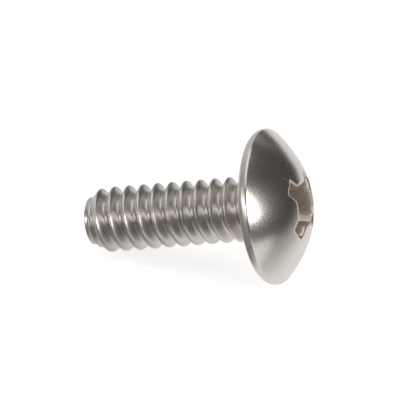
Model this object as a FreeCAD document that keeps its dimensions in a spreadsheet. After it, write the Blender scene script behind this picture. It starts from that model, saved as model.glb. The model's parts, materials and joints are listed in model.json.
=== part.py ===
import FreeCAD, Part
import os
import Sketcher

# A truss head machine screw lying on its side, as one solid.
# The body is built upright on its own axis, with the bearing face at height zero, the head above it and the
# shank below it. It is then laid over until the head's rim and the thread near the point touch the floor.

doc = FreeCAD.newDocument("TrussHeadScrew")

# Driving sizes, in millimetres and degrees. Heights are counted from the bearing face.
sizes = doc.addObject("Spreadsheet::Sheet", "Sizes")
drivingSizes = {
    # Shank and thread. threadPhase is how far below the face the groove's middle would pass the underside,
    # in turns, if it ran on up to the face.
    "shankLength": "9.6",
    "threadDiameter": "3.38",
    "threadPitch": "0.79375",
    "threadDepth": "0.46",
    "threadRootWidth": "0.12",
    "threadHalfAngle": "30",
    "threadPhase": "0.193",
    "leadInTurns": "12",
    "neckTurns": "0.25",
    "cutterReach": "0.12",
    # Neck between thread and head, and the chamfered point.
    "shoulderBottom": "0.9",
    "shoulderTop": "0.62",
    "neckDiameter": "2.86",
    "neckFillet": "0.3",
    "endFlatDiameter": "2",
    "endChamferLength": "0.775",
    # Head: a rounded lower edge, a short upright band and a dome. The dome is rounder over the crown than
    # towards the rim, and the crown's edge lies crownDrop below a dome of one single round.
    "headDiameter": "8",
    "headHeight": "2.36",
    "crownRadius": "2.5",
    "crownDrop": "0.05",
    "rimTop": "0.47",
    "rimRoundTop": "0.32",
    "rimRoundInset": "0.17",
    # Cross recess. Each reach is measured at the height where that part of it meets the dome.
    "wingCount": "4",
    "wingReach": "1.75",
    "wingReachHeight": "2.03",
    "wingTaper": "26.5",
    "wingWidth": "0.82",
    "wingFloorWidth": "0.66",
    "coreReach": "1.045",
    "coreReachHeight": "2.24",
    "coreTaper": "5.75",
    "recessTurn": "32",
    "recessClearance": "0.1",
    "recessFloor": "0.5",
    "recessConeAngle": "28",
}
# Sizes that follow from the driving ones.
derivedSizes = {
    "threadRadius": "threadDiameter / 2",
    "rootRadius": "threadRadius - threadDepth",
    "neckRadius": "neckDiameter / 2",
    "endFlatRadius": "endFlatDiameter / 2",
    "seatInnerRadius": "neckRadius + neckFillet",
    "headRadius": "headDiameter / 2",
    "seatOuterRadius": "headRadius - rimRoundInset",
    # The rim's lower round meets the rim's upright band smoothly and the bearing face at an edge.
    "rimRound": "(rimRoundInset * rimRoundInset + rimRoundTop * rimRoundTop) / (2 * rimRoundInset)",
    "domeRise": "headHeight - rimTop",
    "domeRound": "(headRadius * headRadius + domeRise * domeRise) / (2 * domeRise)",
    "crownRise": "domeRound - sqrt(domeRound * domeRound - crownRadius * crownRadius) + crownDrop",
    "crownRound": "(crownRadius * crownRadius + crownRise * crownRise) / (2 * crownRise)",
    "crownMiddle": "headHeight - crownRound",
    "crownEdge": "headHeight - crownRise",
    "crownEdgeRise": "crownRound - crownRise",
    # The flatter round beside the crown carries on smoothly from the crown's own round and ends at the rim.
    "sideReach": "headRadius - crownRadius",
    "sideDrop": "crownEdge - rimTop",
    "sideRound": "crownRound * (sideReach * sideReach + sideDrop * sideDrop)"
    " / (2 * (sideDrop * crownEdgeRise - sideReach * crownRadius))",
    "sideMiddleReach": "crownRadius - sideRound * crownRadius / crownRound",
    "sideMiddle": "crownEdge - sideRound * crownEdgeRise / crownRound",
    "cutterRadius": "threadRadius + cutterReach",
    "rootHalf": "threadRootWidth / 2",
    "cutterHalf": "rootHalf + (cutterRadius - rootRadius) * tan(threadHalfAngle * 1deg)",
    "threadStart": "(1 + threadPhase + leadInTurns) * threadPitch",
    "threadTurns": "leadInTurns + neckTurns",
    "recessMouth": "headHeight + recessClearance",
    "wingReachTop": "wingReach + (recessMouth - wingReachHeight) * tan(wingTaper * 1deg)",
    "wingReachFloor": "wingReach - (wingReachHeight - recessFloor) * tan(wingTaper * 1deg)",
    "coreTop": "(coreReach + (recessMouth - coreReachHeight) * tan(coreTaper * 1deg)) * sqrt(2)",
    "coreFloor": "(coreReach - (coreReachHeight - recessFloor) * tan(coreTaper * 1deg)) * sqrt(2)",
    "coneRadius": "coreFloor / sqrt(2)",
    "conePoint": "recessFloor - coneRadius * tan(recessConeAngle * 1deg)",
    # The floor line touches the rim's lower round and the last full crest before the end chamfer.
    "restLength": "shankLength - endChamferLength + rimRoundTop",
    "restStep": "headRadius - rimRound - threadRadius",
    "restTilt": "acos(-rimRound / sqrt(restStep * restStep + restLength * restLength)) / 1deg"
    " - atan2(restLength; restStep) / 1deg",
}

sizeRows = list(drivingSizes.items())
sizeRows += [(name, "=" + formula) for name, formula in derivedSizes.items()]
for row, (name, content) in enumerate(sizeRows, start=1):
    sizes.set(f"A{row}", name)
    sizes.set(f"B{row}", content)
    sizes.setAlias(f"B{row}", name)
doc.recompute()

screw = doc.addObject("PartDesign::Body", "Screw")
screw.Label = "screw"
planes = {feature.Role: feature for feature in screw.Origin.OriginFeatures}

# The sketcher's own numbers for a sketch's origin point and axes, and for the two ends of a side.
originPoint = (-1, 1)
horizontalAxis = -1
verticalAxis = -2
startAndEnd = (1, 2)

samePoint = 1e-6
fullTurn = 360
ownAxis = FreeCAD.Vector(0, 0, 1)


def newSketch(name, planeRole, height="0", turn="0"):
    """A sketch on one of the body's own planes, raised and turned about the screw's axis."""
    sketch = screw.newObject("Sketcher::SketchObject", name)
    sketch.AttachmentSupport = [(planes[planeRole], "")]
    sketch.MapMode = "FlatFace"
    turned = FreeCAD.Rotation(ownAxis, fullTurn / 4)
    sketch.AttachmentOffset = FreeCAD.Placement(FreeCAD.Vector(), turned)
    sketch.setExpression("AttachmentOffset.Base.z", f"({height}) * 1mm")
    sketch.setExpression("AttachmentOffset.Rotation.Angle", f"({turn}) * 1deg")
    return sketch


def value(sketch, formula):
    return float(sketch.evalExpression(formula))


def placeCorner(sketch, corner, x, y):
    """Hold a corner by its two distances from the origin, or on an axis where a distance is zero."""
    for kind, formula, axis in (("DistanceX", x, verticalAxis), ("DistanceY", y, horizontalAxis)):
        if formula == "0":
            sketch.addConstraint(Sketcher.Constraint("PointOnObject", *corner, axis))
            continue
        distance = value(sketch, formula)
        index = sketch.addConstraint(Sketcher.Constraint(kind, *originPoint, *corner, distance))
        sketch.setExpression(f"Constraints[{index}]", f"({formula}) * 1mm")


def drawOutline(sketch, corners):
    """Draw a closed outline. A corner is x and y, then radius and centre where the side after it is round."""
    points = [FreeCAD.Vector(value(sketch, x), value(sketch, y), 0) for x, y, *_ in corners]
    starts = []
    ends = []
    for index, point in enumerate(points):
        following = points[(index + 1) % len(points)]
        roundSide = corners[index][2:]
        if not roundSide:
            side = sketch.addGeometry(Part.LineSegment(point, following))
        else:
            radius, centreX, centreY = roundSide
            centre = FreeCAD.Vector(value(sketch, centreX), value(sketch, centreY), 0)
            outward = (point + following) * 0.5 - centre
            outward.normalize()
            middle = centre + outward * value(sketch, radius)
            side = sketch.addGeometry(Part.Arc(point, middle, following))
            limit = sketch.addConstraint(Sketcher.Constraint("Radius", side, value(sketch, radius)))
            sketch.setExpression(f"Constraints[{limit}]", f"({radius}) * 1mm")
        startsHere = sketch.Geometry[side].StartPoint.distanceToPoint(point) < samePoint
        start, end = startAndEnd if startsHere else reversed(startAndEnd)
        starts.append((side, start))
        ends.append((side, end))
    for index, corner in enumerate(starts):
        x, y, *_ = corners[index]
        sketch.addConstraint(Sketcher.Constraint("Coincident", *ends[index - 1], *corner))
        placeCorner(sketch, corner, x, y)
    doc.recompute()


# Turned blank: point, shank, shoulder, neck, under-head round, bearing face, rim and dome.
neckRound = ("Sizes.neckFillet", "Sizes.seatInnerRadius", "-Sizes.neckFillet")
rimRound = ("Sizes.rimRound", "Sizes.headRadius - Sizes.rimRound", "Sizes.rimRoundTop")
sideRound = ("Sizes.sideRound", "Sizes.sideMiddleReach", "Sizes.sideMiddle")
crownRound = ("Sizes.crownRound", "0", "Sizes.crownMiddle")
blankOutline = newSketch("BlankOutline", "XZ_Plane")
drawOutline(
    blankOutline,
    corners=[
        ("0", "-Sizes.shankLength"),
        ("Sizes.endFlatRadius", "-Sizes.shankLength"),
        ("Sizes.threadRadius", "Sizes.endChamferLength - Sizes.shankLength"),
        ("Sizes.threadRadius", "-Sizes.shoulderBottom"),
        ("Sizes.neckRadius", "-Sizes.shoulderTop"),
        ("Sizes.neckRadius", "-Sizes.neckFillet", *neckRound),
        ("Sizes.seatInnerRadius", "0"),
        ("Sizes.seatOuterRadius", "0", *rimRound),
        ("Sizes.headRadius", "Sizes.rimRoundTop"),
        ("Sizes.headRadius", "Sizes.rimTop", *sideRound),
        ("Sizes.crownRadius", "Sizes.crownEdge", *crownRound),
        ("0", "Sizes.headHeight"),
    ],
)
blank = screw.newObject("PartDesign::Revolution", "Blank")
blank.Profile = blankOutline
blank.ReferenceAxis = (blankOutline, ["V_Axis"])
blank.Midplane = True
blank.Angle = fullTurn
doc.recompute()

# Right-hand thread, cut as a 60 degree V with a narrow flat root, from below the point up into the neck.
threadOutline = newSketch("ThreadOutline", "XZ_Plane")
drawOutline(
    threadOutline,
    corners=[
        ("Sizes.cutterRadius", "-Sizes.threadStart - Sizes.cutterHalf"),
        ("Sizes.cutterRadius", "-Sizes.threadStart + Sizes.cutterHalf"),
        ("Sizes.rootRadius", "-Sizes.threadStart + Sizes.rootHalf"),
        ("Sizes.rootRadius", "-Sizes.threadStart - Sizes.rootHalf"),
    ],
)
thread = screw.newObject("PartDesign::SubtractiveHelix", "Thread")
thread.Profile = threadOutline
thread.ReferenceAxis = (threadOutline, ["V_Axis"])
thread.Mode = "pitch-turns-angle"
thread.LeftHanded = False
thread.setExpression("Pitch", "Sizes.threadPitch * 1mm")
thread.setExpression("Turns", "Sizes.threadTurns")
doc.recompute()


def addLoft(name, lower, upper):
    loft = screw.newObject("PartDesign::SubtractiveLoft", name)
    loft.Profile = lower
    loft.Sections = [upper]
    loft.Ruled = True
    doc.recompute()
    return loft


# Cross recess: a tapered square core, whose sides are the bevels between the wings, and four tapered wings.
coreSections = []
for name, height, reach in (
    ("CoreFloor", "recessFloor", "coreFloor"),
    ("CoreMouth", "recessMouth", "coreTop"),
):
    section = newSketch(name, "XY_Plane", f"Sizes.{height}", "Sizes.recessTurn")
    drawOutline(
        section,
        corners=[
            (f"Sizes.{reach}", "0"),
            ("0", f"Sizes.{reach}"),
            (f"-Sizes.{reach}", "0"),
            ("0", f"-Sizes.{reach}"),
        ],
    )
    coreSections.append(section)
core = addLoft("RecessCore", *coreSections)

wingSections = []
for name, height, reach, width in (
    ("WingFloor", "recessFloor", "wingReachFloor", "wingFloorWidth"),
    ("WingMouth", "recessMouth", "wingReachTop", "wingWidth"),
):
    section = newSketch(name, "XY_Plane", f"Sizes.{height}", "Sizes.recessTurn")
    drawOutline(
        section,
        corners=[
            ("0", f"-Sizes.{width} / 2"),
            (f"Sizes.{reach}", f"-Sizes.{width} / 2"),
            (f"Sizes.{reach}", f"Sizes.{width} / 2"),
            ("0", f"Sizes.{width} / 2"),
        ],
    )
    wingSections.append(section)
wing = addLoft("RecessWing", *wingSections)
wings = screw.newObject("PartDesign::PolarPattern", "RecessWings")
wings.Originals = [wing]
wings.Axis = (wingSections[0], ["N_Axis"])
wings.Angle = fullTurn
wings.setExpression("Occurrences", "Sizes.wingCount")
screw.Tip = wings
doc.recompute()

# The recess ends below in a shallow cone.
coneOutline = newSketch("RecessConeOutline", "XZ_Plane")
drawOutline(
    coneOutline,
    corners=[
        ("0", "Sizes.conePoint"),
        ("Sizes.coneRadius", "Sizes.recessFloor"),
        ("Sizes.coneRadius", "Sizes.recessFloor + Sizes.recessClearance"),
        ("0", "Sizes.recessFloor + Sizes.recessClearance"),
    ],
)
cone = screw.newObject("PartDesign::Groove", "RecessCone")
cone.Profile = coneOutline
cone.ReferenceAxis = (coneOutline, ["V_Axis"])
cone.Angle = fullTurn
doc.recompute()

# Laid on its side: rim and thread on the floor, the head towards +X and raised by the rest tilt.
sideways = FreeCAD.Vector(0, 1, 0)
upright = 90
screw.Placement = FreeCAD.Placement(FreeCAD.Vector(), FreeCAD.Rotation(sideways, upright))
screw.setExpression("Placement.Rotation.Angle", f"({upright} - Sizes.restTilt) * 1deg")
doc.recompute()

for item in doc.Objects:
    if "Invalid" in item.State or "Error" in item.State:
        raise RuntimeError(f"{item.Label} did not build: {item.State}")
if screw.Shape.isNull() or not screw.Shape.isValid():
    raise RuntimeError("screw has no valid shape")
if len(screw.Shape.Solids) != 1:
    raise RuntimeError("screw is not one solid")

os.makedirs("parts", exist_ok=True)
screw.Shape.exportStep("parts/screw.step")
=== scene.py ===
import json
import math
import bpy
import numpy as np
from mathutils import Matrix, Vector


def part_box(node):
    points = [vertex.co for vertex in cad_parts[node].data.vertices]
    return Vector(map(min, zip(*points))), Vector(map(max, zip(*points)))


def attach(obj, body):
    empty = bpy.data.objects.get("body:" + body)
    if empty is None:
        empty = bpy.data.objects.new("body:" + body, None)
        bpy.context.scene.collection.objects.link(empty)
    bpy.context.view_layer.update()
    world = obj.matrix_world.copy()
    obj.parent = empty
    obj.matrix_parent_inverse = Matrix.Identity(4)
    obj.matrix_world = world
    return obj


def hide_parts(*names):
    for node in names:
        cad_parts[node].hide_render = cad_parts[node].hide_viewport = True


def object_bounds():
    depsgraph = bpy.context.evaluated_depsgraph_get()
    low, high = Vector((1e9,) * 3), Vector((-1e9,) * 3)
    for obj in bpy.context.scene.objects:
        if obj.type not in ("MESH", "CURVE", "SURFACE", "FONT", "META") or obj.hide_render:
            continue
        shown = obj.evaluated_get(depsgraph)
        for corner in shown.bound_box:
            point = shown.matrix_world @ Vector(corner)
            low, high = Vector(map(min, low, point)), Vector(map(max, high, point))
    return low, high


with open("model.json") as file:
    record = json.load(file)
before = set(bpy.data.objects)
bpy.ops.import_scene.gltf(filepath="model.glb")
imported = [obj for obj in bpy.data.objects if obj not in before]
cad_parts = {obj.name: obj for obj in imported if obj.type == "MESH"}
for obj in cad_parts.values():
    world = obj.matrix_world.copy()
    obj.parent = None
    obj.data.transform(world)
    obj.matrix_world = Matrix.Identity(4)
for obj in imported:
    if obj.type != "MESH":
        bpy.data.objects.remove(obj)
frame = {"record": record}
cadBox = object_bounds()
mm = 0.001
mounts = {mount["name"]: mount for mount in frame["record"]["mounts"]}
seat = Vector(mounts["bearing_face"]["pos_m"])
screwAxis = -Vector(mounts["bearing_face"]["axis"])
crown = Vector(mounts["drive_recess"]["pos_m"])
lowCorner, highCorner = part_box("screw")
print("frame loaded")

# The screw's sizes are in millimetres and degrees. Heights run along its own axis from the bearing
# face, upwards through the head and downwards through the shank. Its mesh is made of rings round
# that axis, and these are their steps.
meshSteps = {
    "outline": [7, 5, 12, 5, 7],  # half a bevel, a wing's side, tip and other side, half a bevel
    "outlineCorner": 4,
    "mouthRounds": 8,  # rounds that settle the height of the recess's mouth on the dome
    "turn": 24,  # rows in one turn of the thread
    "turnSamples": 4001,
    "bendWeight": 0.25,  # how much closer those rows lie where the thread bends
    "rowMargin": 0.4,  # share of a row that stays free at the thread's end rings
    "spareTurns": 3,  # of rows beyond each end, because the helix climbs
    "round": 7,
    "neckRound": 10,
    "seatRound": 5,
    "rimRound": 12,
    "dome": 36,
    "domeSpread": 0.9,  # below 1, the dome's rings lie closer at the recess
    "wall": 12,
    "cone": 9,
    "coneEnd": 0.9,  # share of the cone's width that lies outside its last ring
    "neckRows": (-0.4, -0.35),  # heights
    "seatRows": (0.04, 0.2, 0.4, 0.6, 0.8, 0.96),  # shares of the bearing face's width
    "creaseRows": (1.6, 1.3),  # how far below the crease, in times its softness
    "endRows": (0.8, 0.6, 0.4, 0.2),  # shares of the end face's radius
}


def softMin(a, b, width):
    near = np.maximum(width - np.abs(a - b), 0) / width
    return np.minimum(a, b) - near * near * width / 4


def softMax(a, b, width):
    return -softMin(-a, -b, width)


def smoothStep(low, high, x):
    t = np.clip((x - low) / (high - low), 0, 1)
    return t * t * (3 - 2 * t)


# Points on a curve that rounds a corner, from before it to after it.
def roundedCorner(before, corner, after, steps):
    before, corner, after = (np.asarray(point, float) for point in (before, corner, after))
    t = np.linspace(0, 1, steps)[:, None]
    return before * (1 - t) ** 2 + corner * 2 * t * (1 - t) + after * t * t


def arc(centre, radius, start, stop, steps):
    angles = np.radians(np.linspace(start, stop, steps))
    across, up = centre[0] + radius * np.cos(angles), centre[1] + radius * np.sin(angles)
    return np.column_stack([across, up])


head = {
    "radius": (highCorner[1] - lowCorner[1]) / 2 / mm,
    "height": (crown - seat).length / mm,
    "crownRadius": 2.5,  # where the crown's round meets the flatter one
    "crownDrop": 0.05,  # how far that place lies below a dome of one single round
    "rimTop": 0.47,
    "rimRoundTop": 0.32,
    "rimRoundInset": 0.17,
    "rimRoundAngle": 55.9,
    "creaseSoftness": 0.06,
    "creaseInset": 0.7,  # share of that softness by which the crease reaches into the dome
    "seatEdgeSoftness": 0.04,
}
rimRound = (head["rimRoundInset"] ** 2 + head["rimRoundTop"] ** 2) / (2 * head["rimRoundInset"])
seatEdge = head["radius"] - head["rimRoundInset"]
domeEdge = head["radius"] - head["creaseSoftness"] * head["creaseInset"]

# The dome is a round crown that runs smoothly into a flatter round, which ends at the rim.
domeRise = head["height"] - head["rimTop"]
domeRound = (head["radius"] ** 2 + domeRise**2) / (2 * domeRise)
crownRise = domeRound - math.sqrt(domeRound**2 - head["crownRadius"] ** 2) + head["crownDrop"]
crownRound = (head["crownRadius"] ** 2 + crownRise**2) / (2 * crownRise)
crownMiddle = head["height"] - crownRound
crownEdge = np.array([head["crownRadius"], head["height"] - crownRise])
outwards = (crownEdge - np.array([0, crownMiddle])) / crownRound
toRim = np.array([head["radius"], head["rimTop"]]) - crownEdge
sideRound = -(toRim @ toRim) / (2 * toRim @ outwards)
sideMiddle = crownEdge - outwards * sideRound


def domeHeight(radius):
    inner = np.minimum(radius, head["crownRadius"])
    outer = np.maximum(radius, head["crownRadius"]) - sideMiddle[0]
    crownHeight = crownMiddle + np.sqrt(crownRound**2 - inner**2)
    sideHeight = sideMiddle[1] + np.sqrt(sideRound**2 - outer**2)
    return np.where(radius < head["crownRadius"], crownHeight, sideHeight)


shank = {
    "length": 9.6,
    "threadRadius": mounts["thread"]["dims"]["r_mm"],
    "pitch": 0.79375,
    "threadDepth": 0.46,
    "rootWidth": 0.12,
    "flankAngle": 30,
    "phase": 0.193,  # turns from the bearing face down to a groove's middle, at angle 0
    "crestSoftness": 0.16,
    "rootSoftness": 0.14,
    "shoulderBottom": 0.9,
    "shoulderTop": 0.62,
    "fadeBottom": 1.25,  # the groove fills up from here
    "fadeTop": 0.55,  # to here
    "neckRadius": 1.43,
    "neckFillet": 0.3,
    "neckBottom": 0.45,
    "endFlatRadius": 1.0,
    "endChamfer": 0.775,
    "endSoftness": 0.08,
    "endFaceSoftness": 0.1,
}
rootRadius = shank["threadRadius"] - shank["threadDepth"]


# Radius of the rolled thread, offset being the distance along the axis from the crest's middle.
def threadForm(offset):
    steepness = 1 / math.tan(math.radians(shank["flankAngle"]))
    flank = rootRadius + ((shank["pitch"] - shank["rootWidth"]) / 2 - np.abs(offset)) * steepness
    radius = softMin(shank["threadRadius"], flank, shank["crestSoftness"])
    return softMax(rootRadius, radius, shank["rootSoftness"])


# Radius of the shank with its chamfered end, its shoulder and the thread's run-out into the neck.
# A whole number of turns is a crest, which lies half a turn from the groove that the phase names.
def shankRadius(height, angle):
    turns = height / shank["pitch"] + shank["phase"] + 0.5 - angle / (2 * math.pi)
    radius = threadForm((turns - np.round(turns)) * shank["pitch"])
    chamferSlope = (shank["threadRadius"] - shank["endFlatRadius"]) / shank["endChamfer"]
    chamfer = shank["endFlatRadius"] + (height + shank["length"]) * chamferSlope
    radius = softMin(radius, chamfer, shank["endSoftness"])
    shoulderWidth = shank["shoulderBottom"] - shank["shoulderTop"]
    shoulderSlope = (shank["threadRadius"] - shank["neckRadius"]) / shoulderWidth
    shoulder = shank["neckRadius"] + np.maximum(-shank["shoulderTop"] - height, 0) * shoulderSlope
    radius = softMin(radius, shoulder, shank["endSoftness"])
    filled = smoothStep(-shank["fadeBottom"], -shank["fadeTop"], height)
    return np.maximum(radius, rootRadius + (shank["neckRadius"] - rootRadius) * filled)


# Heights of the mesh rows within one turn of thread, closer together where its section bends.
def threadRows():
    fine = np.linspace(0, shank["pitch"], meshSteps["turnSamples"])
    radius = threadForm(np.minimum(fine, shank["pitch"] - fine))
    slope = np.gradient(radius, fine)
    bend = np.abs(np.gradient(np.arctan(slope), fine))
    weight = np.sqrt(1 + slope * slope) + bend * meshSteps["bendWeight"]
    along = np.concatenate([[0], np.cumsum((weight[1:] + weight[:-1]) / 2)])
    return np.interp(np.arange(meshSteps["turn"]) / meshSteps["turn"] * along[-1], along, fine)


recess = {
    "wings": 4,
    "wingReach": 1.75,  # from the axis to a wing's tip, at the height that follows
    "wingReachHeight": 2.03,
    "wingTaper": 26.5,
    "wingWidth": 0.82,  # at the mouth
    "wingFloorWidth": 0.66,
    "coreReach": 1.045,  # from the axis to a bevel between two wings, at the height that follows
    "coreReachHeight": 2.24,
    "coreTaper": 5.75,
    "mouth": 2.46,
    "floor": 0.5,
    "floorEdge": 0.02,
    "coneAngle": 28,
    "coneShare": 0.97,  # share of the floor's narrowest reach that the cone takes up
    "turn": 32,
    "cornerSoftness": 0.22,
    "lip": 0.2,  # width and depth of the round at the mouth
}


# One wing's share of the recess outline at a height, grown outwards by a margin, with the wing
# along +X. It runs from the middle of one bevel round the wing's tip to the middle of the next.
def wingOutline(height, margin=0.0):
    share = (height - recess["floor"]) / (recess["mouth"] - recess["floor"])
    width = recess["wingFloorWidth"] + (recess["wingWidth"] - recess["wingFloorWidth"]) * share
    half = width / 2 + margin
    reach = recess["wingReach"] + margin
    reach += (height - recess["wingReachHeight"]) * math.tan(math.radians(recess["wingTaper"]))
    core = recess["coreReach"] + margin
    core += (height - recess["coreReachHeight"]) * math.tan(math.radians(recess["coreTaper"]))
    bevel = core / math.sqrt(2)
    inner = core * math.sqrt(2) - half
    corners = [(bevel, -bevel), (inner, -half), (reach, -half)]
    corners += [(x, -y) for x, y in reversed(corners)]
    corners = [np.array(corner) for corner in corners]
    ways = [(b - a) / np.linalg.norm(b - a) for a, b in zip(corners, corners[1:])]
    soft = recess["cornerSoftness"]
    trims = [0, soft / 2, soft, soft, soft / 2, 0]
    stretches = []
    for n, (way, steps) in enumerate(zip(ways, meshSteps["outline"])):
        start = corners[n] + way * trims[n]
        stop = corners[n + 1] - way * trims[n + 1]
        stretches.append(start + (stop - start) * np.linspace(0, 1, steps + 1)[:, None])
        if n + 1 < len(ways):
            after = corners[n + 1] + ways[n + 1] * trims[n + 1]
            bend = roundedCorner(stop, corners[n + 1], after, meshSteps["outlineCorner"] + 2)
            stretches.append(bend[1:-1])
    return np.concatenate(stretches)[:-1]


# Every ring has the columns of the recess outline, so that all rings join point to point.
wingColumns = len(wingOutline(recess["mouth"]))
columns = recess["wings"] * wingColumns
firstAngle = math.radians(recess["turn"]) - math.pi / recess["wings"]
columnAngles = firstAngle + np.arange(columns) * 2 * math.pi / columns
points = []
faces = []


# A ring of mesh points round the axis, with a radius and a height for each column.
def addRing(radius, height, angle=columnAngles):
    radius = np.broadcast_to(radius, columns)
    height = np.broadcast_to(height, columns)
    first = len(points)
    points.extend(zip(radius * np.cos(angle), radius * np.sin(angle), height))
    return list(range(first, first + columns))


# A face without the corners that repeat, or none if fewer than three are left.
def addFace(corners):
    kept = [corner for n, corner in enumerate(corners) if corner != corners[n - 1]]
    if len(kept) > 2:
        faces.append(kept)


def joinRings(lower, upper):
    for j in range(columns):
        k = (j + 1) % columns
        addFace((lower[j], lower[k], upper[k], upper[j]))


# Adds a ring, joined to the one before it.
def nextRing(ring, radius, height, angle=columnAngles):
    upper = addRing(radius, height, angle)
    joinRings(ring, upper)
    return upper


def closeRing(ring, height, faceUp):
    middle = len(points)
    points.append((0, 0, height))
    for j in range(columns):
        k = (j + 1) % columns
        addFace((ring[j], ring[k], middle) if faceUp else (ring[k], ring[j], middle))


# The thread's rows follow its own helix, so that its crest stays even, and end on a plain ring
# at each end. The last column joins the first one a whole turn of rows further up.
def addThread(bottom, top):
    pitch = shank["pitch"]
    offsets = threadRows()
    perTurn = len(offsets)
    spare = meshSteps["spareTurns"]
    turns = range(math.floor(bottom / pitch) - spare, math.ceil(top / pitch) + spare)
    rows = np.array([turn * pitch + offset for turn in turns for offset in offsets])
    rows -= (shank["phase"] + 0.5) * pitch
    margin = np.gradient(rows) * meshSteps["rowMargin"]
    low = addRing(shankRadius(bottom, columnAngles), bottom)
    high = addRing(shankRadius(top, columnAngles), top)
    index = np.empty((columns, len(rows)), int)
    for j, angle in enumerate(columnAngles):
        heights = rows + pitch * angle / (2 * math.pi)
        shown = np.flatnonzero((heights > bottom + margin) & (heights < top - margin))
        radii = shankRadius(heights[shown], angle)
        index[j] = np.where(heights <= bottom + margin, low[j], high[j])
        index[j, shown] = len(points) + np.arange(len(shown))
        points.extend(zip(radii * math.cos(angle), radii * math.sin(angle), heights[shown]))
    turnedOnce = np.append(index[0, perTurn:], np.full(perTurn, high[0]))
    for j in range(columns):
        here = index[j]
        beside = index[j + 1] if j + 1 < columns else turnedOnce
        for n in range(len(rows) - 1):
            addFace((here[n], beside[n], beside[n + 1], here[n + 1]))
    return low, high


# The rounded edge and the flat face of the shank's end, from the thread's lowest ring down.
def addShankEnd(ring, top):
    bottom = -shank["length"]
    edge = shank["endFlatRadius"]
    inside = edge - shank["endFaceSoftness"]
    start = (shankRadius(top, 0.0), top)
    section = list(roundedCorner(start, (edge, bottom), (inside, bottom), meshSteps["round"])[1:])
    section += [(edge * share, bottom) for share in meshSteps["endRows"]]
    for radius, height in section:
        lower = addRing(radius, height)
        joinRings(lower, ring)
        ring = lower
    closeRing(ring, bottom, False)


# The neck, the bearing face, the rim and its crease, from the thread's highest ring up. The first
# point of the rim's arc gives way to the soft edge of the bearing face.
def addHeadSide(ring):
    radius, rimTop, softCrease = head["radius"], head["rimTop"], head["creaseSoftness"]
    fillet = shank["neckFillet"]
    seatInner = shank["neckRadius"] + fillet
    seatOuter = seatEdge - head["seatEdgeSoftness"]
    seatWidth = seatOuter - seatInner
    rimMiddle = (radius - rimRound, head["rimRoundTop"])
    rimArc = arc(rimMiddle, rimRound, -head["rimRoundAngle"], 0, meshSteps["rimRound"])
    creaseStart = (radius, rimTop - softCrease)
    creaseEnd = (domeEdge, domeHeight(domeEdge))
    section = [(shank["neckRadius"], height) for height in meshSteps["neckRows"]]
    section += list(arc((seatInner, -fillet), fillet, 180, 90, meshSteps["neckRound"]))
    section += [(seatInner + seatWidth * share, 0) for share in meshSteps["seatRows"]]
    section += list(roundedCorner((seatOuter, 0), (seatEdge, 0), rimArc[1], meshSteps["seatRound"]))
    section += list(rimArc[2:])
    section += [(radius, rimTop - softCrease * share) for share in meshSteps["creaseRows"]]
    section += list(roundedCorner(creaseStart, (radius, rimTop), creaseEnd, meshSteps["round"]))
    for place in section:
        ring = nextRing(ring, *place)
    return ring


# The outline where it meets the dome, as x, y and height for each point of one wing's share.
def mouthOutline(margin=0.0):
    height = np.full(wingColumns, head["height"])
    for _ in range(meshSteps["mouthRounds"]):
        outline = np.array([wingOutline(h, margin)[n] for n, h in enumerate(height)])
        height = domeHeight(np.hypot(outline[:, 0], outline[:, 1]))
    return np.column_stack([outline, height])


# Copies one wing's share round the axis and gives radius, height and angle for every column.
def allWings(share):
    step = 2 * math.pi / recess["wings"]
    radius = np.tile(np.hypot(share[:, 0], share[:, 1]), recess["wings"])
    height = np.tile(share[:, 2], recess["wings"])
    angle = np.arctan2(share[:, 1], share[:, 0])
    turns = [math.radians(recess["turn"]) + step * n for n in range(recess["wings"])]
    return radius, height, np.concatenate([angle + turn for turn in turns])


# The dome, the lip of the recess, its walls, its floor and the shallow cone in the floor.
def addDomeAndRecess(ring):
    lip = recess["lip"]
    floor = recess["floor"]
    lipOuter = mouthOutline(lip)
    lipEdge = mouthOutline()
    wallTop = [wingOutline(point[2] - lip)[n] for n, point in enumerate(lipEdge)]
    lipInner = np.column_stack([wallTop, lipEdge[:, 2] - lip])
    radius, _, angle = allWings(lipOuter)
    for t in np.linspace(0, 1, meshSteps["dome"])[1:] ** meshSteps["domeSpread"]:
        between = domeEdge + (radius - domeEdge) * t
        turned = columnAngles + (angle - columnAngles) * smoothStep(0, 1, t)
        ring = nextRing(ring, between, domeHeight(between), turned)
    corners = zip(lipOuter, lipEdge, lipInner)
    rounds = np.stack([roundedCorner(*corner, meshSteps["round"]) for corner in corners], axis=1)
    for share in rounds[1:]:
        ring = nextRing(ring, *allWings(share))
    depth = floor - lipInner[:, 2]
    rows = [lipInner[:, 2] + depth * t for t in np.linspace(0, 1, meshSteps["wall"])[1:]]
    rows.insert(-1, np.full(wingColumns, floor + recess["floorEdge"]))
    for row in rows:
        share = np.array([(*wingOutline(height)[n], height) for n, height in enumerate(row)])
        ring = nextRing(ring, *allWings(share))
    inset = wingOutline(floor, -recess["floorEdge"])
    ring = nextRing(ring, *allWings(np.column_stack([inset, rows[-1]])))
    radius, _, angle = allWings(share)
    coneRadius = radius.min() * recess["coneShare"]
    slope = math.tan(math.radians(recess["coneAngle"]))
    for t in np.linspace(0, 1, meshSteps["cone"]):
        reach = coneRadius * (1 - t * meshSteps["coneEnd"])
        ring = nextRing(ring, reach, floor - (coneRadius - reach) * slope, angle)
    closeRing(ring, floor - coneRadius * slope, True)


# Where one finish of the steel gives way to the next.
finishEdges = {
    "threadTop": -0.1,  # height above which nothing has the thread's finish
    "threadFull": -0.3,  # and below which all of the shank has it
    "recessReach": 2.2,  # the recess lies within this radius
    "recessLowest": 0.28,  # and above this height
    "recessFull": 0.1,  # depth below the dome at which its finish is full
    "rimInset": 0.08,  # how far the rim's finish reaches into the bearing face
    "rimTop": 0.03,  # depth below the crease at which it starts
    "rimFull": 0.09,
}


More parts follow.
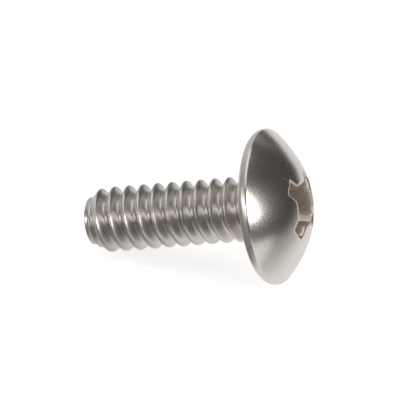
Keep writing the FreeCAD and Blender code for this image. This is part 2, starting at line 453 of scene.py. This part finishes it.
# Shares of the thread's, the recess's and the rim's finish for each point.
def finishZones(own):
    height = own[:, 2]
    reach = np.hypot(own[:, 0], own[:, 1])
    depth = domeHeight(np.minimum(reach, head["radius"])) - height
    thread = smoothStep(finishEdges["threadTop"], finishEdges["threadFull"], height)
    inRecess = (height > finishEdges["recessLowest"]) & (reach < finishEdges["recessReach"])
    cut = np.where(inRecess, smoothStep(0.0, finishEdges["recessFull"], depth), 0)
    rim = smoothStep(seatEdge - finishEdges["rimInset"], seatEdge, reach)
    rimTop, rimFull = (head["rimTop"] - finishEdges[name] for name in ("rimTop", "rimFull"))
    return np.column_stack([thread, cut, rim * smoothStep(rimTop, rimFull, height)])


def buildScrew():
    threadBottom = -shank["length"] + shank["endSoftness"]
    low, high = addThread(threadBottom, -shank["neckBottom"])
    addShankEnd(low, threadBottom)
    addDomeAndRecess(addHeadSide(high))

    mesh = bpy.data.meshes.new("truss_head_screw")
    mesh.from_pydata([Vector(point) * mm for point in points], [], faces)
    own = np.array(points)
    for name, values in {"own": own, "zone": finishZones(own)}.items():
        attribute = mesh.attributes.new(name, "FLOAT_VECTOR", "POINT")
        attribute.data.foreach_set("vector", values.astype(np.float32).ravel())
    sideways = Vector((0, 1, 0))
    toRow = Matrix((sideways.cross(screwAxis), sideways, screwAxis)).transposed().to_4x4()
    toRow.translation = seat
    mesh.transform(toRow)
    mesh.validate()
    mesh.polygons.foreach_set("use_smooth", [True] * len(mesh.polygons))
    screw = bpy.data.objects.new("truss_head_screw", mesh)
    bpy.context.collection.objects.link(screw)
    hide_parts("screw")
    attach(screw, "root")
    return screw


screw = buildScrew()
triangles = sum(len(polygon.vertices) - 2 for polygon in screw.data.polygons)
print("screw built", triangles, "triangles")


# Fills a node's inputs, each from another node's output or with a plain value.
def fillInputs(tree, node, inputs):
    for socket, content in inputs.items():
        if isinstance(content, bpy.types.NodeSocket):
            tree.links.new(content, node.inputs[socket])
        else:
            node.inputs[socket].default_value = content


def addNode(tree, kind, inputs=None, **settings):
    node = tree.nodes.new(kind)
    for name, setting in settings.items():
        setattr(node, name, setting)
    fillInputs(tree, node, inputs or {})
    return node


def calculate(tree, operation, *values):
    return addNode(tree, "ShaderNodeMath", dict(enumerate(values)), operation=operation).outputs[0]


def calculateVector(tree, operation, *values):
    inputs = dict(enumerate(values))
    return addNode(tree, "ShaderNodeVectorMath", inputs, operation=operation).outputs


# Turns a value between start and stop into a number between atStart and atStop.
def mapRange(tree, value, start=0, stop=1, atStart=0, atStop=1):
    ends = {"From Min": start, "From Max": stop, "To Min": atStart, "To Max": atStop}
    return addNode(tree, "ShaderNodeMapRange", {"Value": value, **ends}).outputs[0]


def mixColours(tree, share, a, b):
    inputs = {0: share, 6: a, 7: b}  # 6 and 7 are its colour inputs
    return addNode(tree, "ShaderNodeMix", inputs, data_type="RGBA").outputs[2]


def newMaterial(name):
    material = bpy.data.materials.new(name)
    material.use_nodes = True
    return material, material.node_tree, material.node_tree.nodes["Principled BSDF"]


steel = {
    "headColour": (0.75, 0.7, 0.65, 1),
    "threadColour": (0.66, 0.625, 0.585, 1),
    "recessColour": (0.75, 0.68, 0.6, 1),
    "headRoughness": 0.26,
    "threadRoughness": 0.33,
    "rimRoughness": 0.38,
    "recessRoughness": 0.45,
    "clouds": {"Scale": 0.9, "Detail": 4.0, "Roughness": 0.6},  # about as many to a millimetre
    "cloudAmount": 0.06,  # how far the clouds lighten and darken the colour
    "grain": {"Scale": 9.0, "Detail": 3.0, "Roughness": 0.55},
    "grainAmount": 0.07,  # how far the grain changes the roughness
    "grainStrength": 0.035,
    "grainHeight": 0.00001,  # in metres
    "noiseLow": 0.3,  # the range of both noises that counts
    "noiseHigh": 0.7,
    "scratchStart": (-2.07, -0.98, 0),
    "scratchEnd": (-1.69, -0.74, 0),
    "scratchWidth": 0.07,
    "scratchRoughness": 0.55,
}


# Roughness of a short scratch on the dome beside the recess, fading to none at its width.
def scratchRoughness(tree, place):
    start = Vector(steel["scratchStart"])
    along = Vector(steel["scratchEnd"]) - start
    flat = calculateVector(tree, "MULTIPLY", place, (1, 1, 0))[0]
    offset = calculateVector(tree, "SUBTRACT", flat, start)[0]
    share = calculateVector(tree, "DOT_PRODUCT", offset, along / along.length_squared)["Value"]
    within = addNode(tree, "ShaderNodeClamp", {"Value": share}).outputs[0]
    inputs = {0: along, "Scale": within}
    nearest = addNode(tree, "ShaderNodeVectorMath", inputs, operation="SCALE").outputs[0]
    gap = calculateVector(tree, "DISTANCE", offset, nearest)["Value"]
    return mapRange(tree, gap, 0, steel["scratchWidth"], steel["scratchRoughness"], 0)


def makeSteel():
    material, tree, shader = newMaterial("bright_steel")
    zone = addNode(tree, "ShaderNodeAttribute", attribute_name="zone").outputs["Vector"]
    threadShare, recessShare, rimShare = addNode(tree, "ShaderNodeSeparateXYZ", {0: zone}).outputs
    place = addNode(tree, "ShaderNodeAttribute", attribute_name="own").outputs["Vector"]
    clouds = addNode(tree, "ShaderNodeTexNoise", {"Vector": place, **steel["clouds"]}).outputs[0]
    grain = addNode(tree, "ShaderNodeTexNoise", {"Vector": place, **steel["grain"]}).outputs[0]

    # A factor that strays from 1 by an amount, up and down as the noise does.
    def vary(noise, amount):
        return mapRange(tree, noise, steel["noiseLow"], steel["noiseHigh"], 1 - amount, 1 + amount)

    colour = mixColours(tree, threadShare, steel["headColour"], steel["threadColour"])
    colour = mixColours(tree, recessShare, colour, steel["recessColour"])
    toned = calculateVector(tree, "MULTIPLY", colour, vary(clouds, steel["cloudAmount"]))[0]

    rough = mapRange(tree, threadShare, 0, 1, steel["headRoughness"], steel["threadRoughness"])
    rough = mapRange(tree, rimShare, 0, 1, rough, steel["rimRoughness"])
    rough = mapRange(tree, recessShare, 0, 1, rough, steel["recessRoughness"])
    rough = calculate(tree, "MULTIPLY", rough, vary(grain, steel["grainAmount"]))
    rough = calculate(tree, "MAXIMUM", rough, scratchRoughness(tree, place))

    relief = {"Height": grain, "Strength": steel["grainStrength"], "Distance": steel["grainHeight"]}
    bump = addNode(tree, "ShaderNodeBump", relief).outputs[0]
    inputs = {"Metallic": 1, "Base Color": toned, "Roughness": rough, "Normal": bump}
    fillInputs(tree, shader, inputs)
    return material


screw.data.materials.append(makeSteel())
print("steel made")

# The photograph's view: a long lens, with one pixel as a length on the screw and the bearing face's
# middle at its place in the picture.
view = {
    "azimuth": 16.34,
    "elevation": 30.44,
    "lens": 400,
    "pixelSize": 0.0511,  # in millimetres
    "pictureSize": 415,  # in pixels, as the two places that follow
    "seatAcross": 265.0,
    "seatDown": 207.1,
    "clipFactor": 10,
}


# The direction that is turned from the front towards the right by azimuth and raised by elevation.
def direction(azimuth, elevation):
    azimuth, elevation = math.radians(azimuth), math.radians(elevation)
    level = Vector((math.sin(azimuth), -math.cos(azimuth), 0)) * math.cos(elevation)
    return level + Vector((0, 0, math.sin(elevation)))


def makeCamera():
    data = bpy.data.cameras.new("camera")
    data.lens = view["lens"]
    azimuth = math.radians(view["azimuth"])
    back = direction(view["azimuth"], view["elevation"])
    right = Vector((math.cos(azimuth), math.sin(azimuth), 0))
    up = back.cross(right)
    pixel = view["pixelSize"] * mm
    middle = seat - right * (view["seatAcross"] - view["pictureSize"] / 2) * pixel
    middle += up * (view["seatDown"] - view["pictureSize"] / 2) * pixel
    distance = pixel * view["pictureSize"] * data.lens / data.sensor_width
    camera = bpy.data.objects.new("camera", data)
    camera.matrix_world = Matrix((right, up, back)).transposed().to_4x4()
    camera.location = middle + back * distance
    data.clip_start = distance / view["clipFactor"]
    data.clip_end = distance * view["clipFactor"]
    bpy.context.collection.objects.link(camera)
    bpy.context.scene.camera = camera


makeCamera()
print("camera set")

white = (1, 1, 1, 1)

# A white table that ends a little way beyond the head, and a low white backdrop behind it. Lengths
# are in metres.
stage = {
    "paper": (0.9, 0.9, 0.9, 1),
    "paperRoughness": 0.9,
    "tableRight": 0.018,
    "tableReach": 0.5,
    "backdropDistance": 0.3,
    "backdropRight": 0.12,
    "backdropTop": 0.02,
    "tableLift": 0.6,  # light that only the camera sees, so that the paper stays white
    "backdropLift": 1.0,
    "paintedGlowMost": 0.88,  # painted glow that the screw mirrors in place of the lit paper, with painted light and shadow
    "paintedGlowLeast": 0.15,
    "paintedShadowWay": (1, -0.8, 0),  # the painted shadow of the head fades it this way, to the right and forwards
    "paintedShadowStart": 0.0028,
    "paintedShadowFade": 0.008,
    "nearSideStart": -0.0028,  # between these two places on Y, further forwards, it comes back past the painted shadow's edge
    "nearSideEnd": -0.005,
    "paintedFrontShadeShare": 0.26,  # share of it that is left in the painted shade in front
    "frontStart": 0.0,  # how far forwards that painted shade starts and is full
    "frontEnd": 0.0031,
    "headSide": -0.0022,  # place on X from which the painted shade starts further forwards
    "headWiden": 2.0,
}


# White paper. For glossy rays it glows instead, with painted light and shade that the polished
# screw
# mirrors: bright close by and behind, fading to the right in a painted shadow of the head, and dim
# in front in painted shade.
def makePaperWithPaintedGlow(name, cameraLift):
    material, tree, shader = newMaterial(name)
    ray = addNode(tree, "ShaderNodeLightPath").outputs
    inputs = {
        "Base Color": stage["paper"],
        "Roughness": stage["paperRoughness"],
        "Specular IOR Level": 0,
        "Emission Color": white,
        "Emission Strength": calculate(tree, "MULTIPLY", ray["Is Camera Ray"], cameraLift),
    }
    fillInputs(tree, shader, inputs)

    place = addNode(tree, "ShaderNodeNewGeometry").outputs["Position"]
    toRight, toBack, _ = addNode(tree, "ShaderNodeSeparateXYZ", {0: place}).outputs
    # Painted shadow of the head: the glow fades to the right and comes back further forwards.
    away = calculateVector(tree, "DOT_PRODUCT", place, stage["paintedShadowWay"])["Value"]
    further = calculate(tree, "SUBTRACT", away, stage["paintedShadowStart"])
    fading = calculate(tree, "MULTIPLY", further, -1 / stage["paintedShadowFade"])
    nearSide = mapRange(tree, toBack, stage["nearSideStart"], stage["nearSideEnd"])
    paintedGlow = calculate(tree, "MAXIMUM", calculate(tree, "EXPONENT", fading), nearSide)
    paintedGlow = calculate(tree, "MINIMUM", paintedGlow, stage["paintedGlowMost"])

    # Painted shade in front, which starts further forwards beside the head.
    beside = calculate(tree, "SUBTRACT", toRight, stage["headSide"])
    beside = calculate(tree, "MAXIMUM", beside, 0)
    steppedBack = calculate(tree, "MULTIPLY", beside, -stage["headWiden"])
    ahead = calculate(tree, "SUBTRACT", steppedBack, toBack)
    front = mapRange(tree, ahead, stage["frontStart"], stage["frontEnd"], 1, stage["paintedFrontShadeShare"])
    paintedGlow = calculate(tree, "MULTIPLY", paintedGlow, front)
    paintedGlow = calculate(tree, "MAXIMUM", paintedGlow, stage["paintedGlowLeast"])

    # Glossy rays see this painted glow, with its painted shadow and shade, instead of the lit
    # paper.
    paintedGlowEmission = addNode(tree, "ShaderNodeEmission", {"Strength": paintedGlow}).outputs[0]
    inputs = {0: ray["Is Glossy Ray"], 1: shader.outputs[0], 2: paintedGlowEmission}
    either = addNode(tree, "ShaderNodeMixShader", inputs).outputs[0]
    fillInputs(tree, tree.nodes["Material Output"], {"Surface": either})
    return material


def makeSheet(name, corners, material):
    mesh = bpy.data.meshes.new(name)
    mesh.from_pydata(corners, [], [tuple(range(len(corners)))])
    mesh.materials.append(material)
    sheet = bpy.data.objects.new(name, mesh)
    bpy.context.collection.objects.link(sheet)


def makeStage():
    floor = cadBox[0][2]
    reach = stage["tableReach"]
    right = stage["tableRight"]
    back = stage["backdropDistance"]
    backLeft = (-reach, back)
    backRight = (stage["backdropRight"], back)
    table = [(-reach, -reach), (right, -reach), (right, 0), backRight, backLeft]
    table = [(*corner, floor) for corner in table]
    makeSheet("table", table, makePaperWithPaintedGlow("table_paper_painted_shade", stage["tableLift"]))
    top = stage["backdropTop"]
    backdrop = [(*backLeft, floor), (*backRight, floor), (*backRight, top), (*backLeft, top)]
    makeSheet("backdrop", backdrop, makePaperWithPaintedGlow("backdrop_paper", stage["backdropLift"]))


makeStage()
print("table and backdrop set")

# Soft boxes, each with its direction and distance from the screw, its size and its brightness.
# Lengths are in metres.
softBoxes = {
    "side_box": {
        "azimuth": 67.5, "elevation": 25, "distance": 0.25,
        "width": 0.045, "tall": 0.11, "brightness": 10.0,
    },
    "top_box": {
        "azimuth": 180, "elevation": 88, "distance": 0.3,
        "width": 0.36, "tall": 0.36, "brightness": 1.0,
    },
    "front_box": {
        "azimuth": -28, "elevation": 24, "distance": 0.35,
        "width": 0.44, "tall": 0.08, "brightness": 3.8,
    },
    "left_box": {
        "azimuth": -128, "elevation": 26, "distance": 0.35,
        "width": 0.5, "tall": 0.36, "brightness": 0.5,
    },
    "back_box": {
        "azimuth": 172, "elevation": 28, "distance": 0.35,
        "width": 0.2, "tall": 0.12, "brightness": 0.2,
    },
}
roomLight = 0.065  # the same from everywhere, except that the camera sees plain white


def makeSoftBox(name, box):
    data = bpy.data.lights.new(name, "AREA")
    data.shape = "RECTANGLE"
    data.size = box["width"]
    data.size_y = box["tall"]
    area = box["width"] * box["tall"]
    data.energy = box["brightness"] * math.pi * area  # a larger box isn't a brighter one
    towards = direction(box["azimuth"], box["elevation"])
    lamp = bpy.data.objects.new(name, data)
    lamp.location = towards * box["distance"]
    lamp.rotation_euler = towards.to_track_quat("Z", "Y").to_euler()
    bpy.context.collection.objects.link(lamp)


def makeRoom():
    world = bpy.data.worlds.new("studio")
    bpy.context.scene.world = world
    world.use_nodes = True
    tree = world.node_tree
    ray = addNode(tree, "ShaderNodeLightPath").outputs
    level = mapRange(tree, ray["Is Camera Ray"], atStart=roomLight)
    fillInputs(tree, tree.nodes["Background"], {"Color": white, "Strength": level})


makeRoom()
for name, box in softBoxes.items():
    makeSoftBox(name, box)
bpy.context.scene.view_settings.view_transform = "Standard"
print("light set")
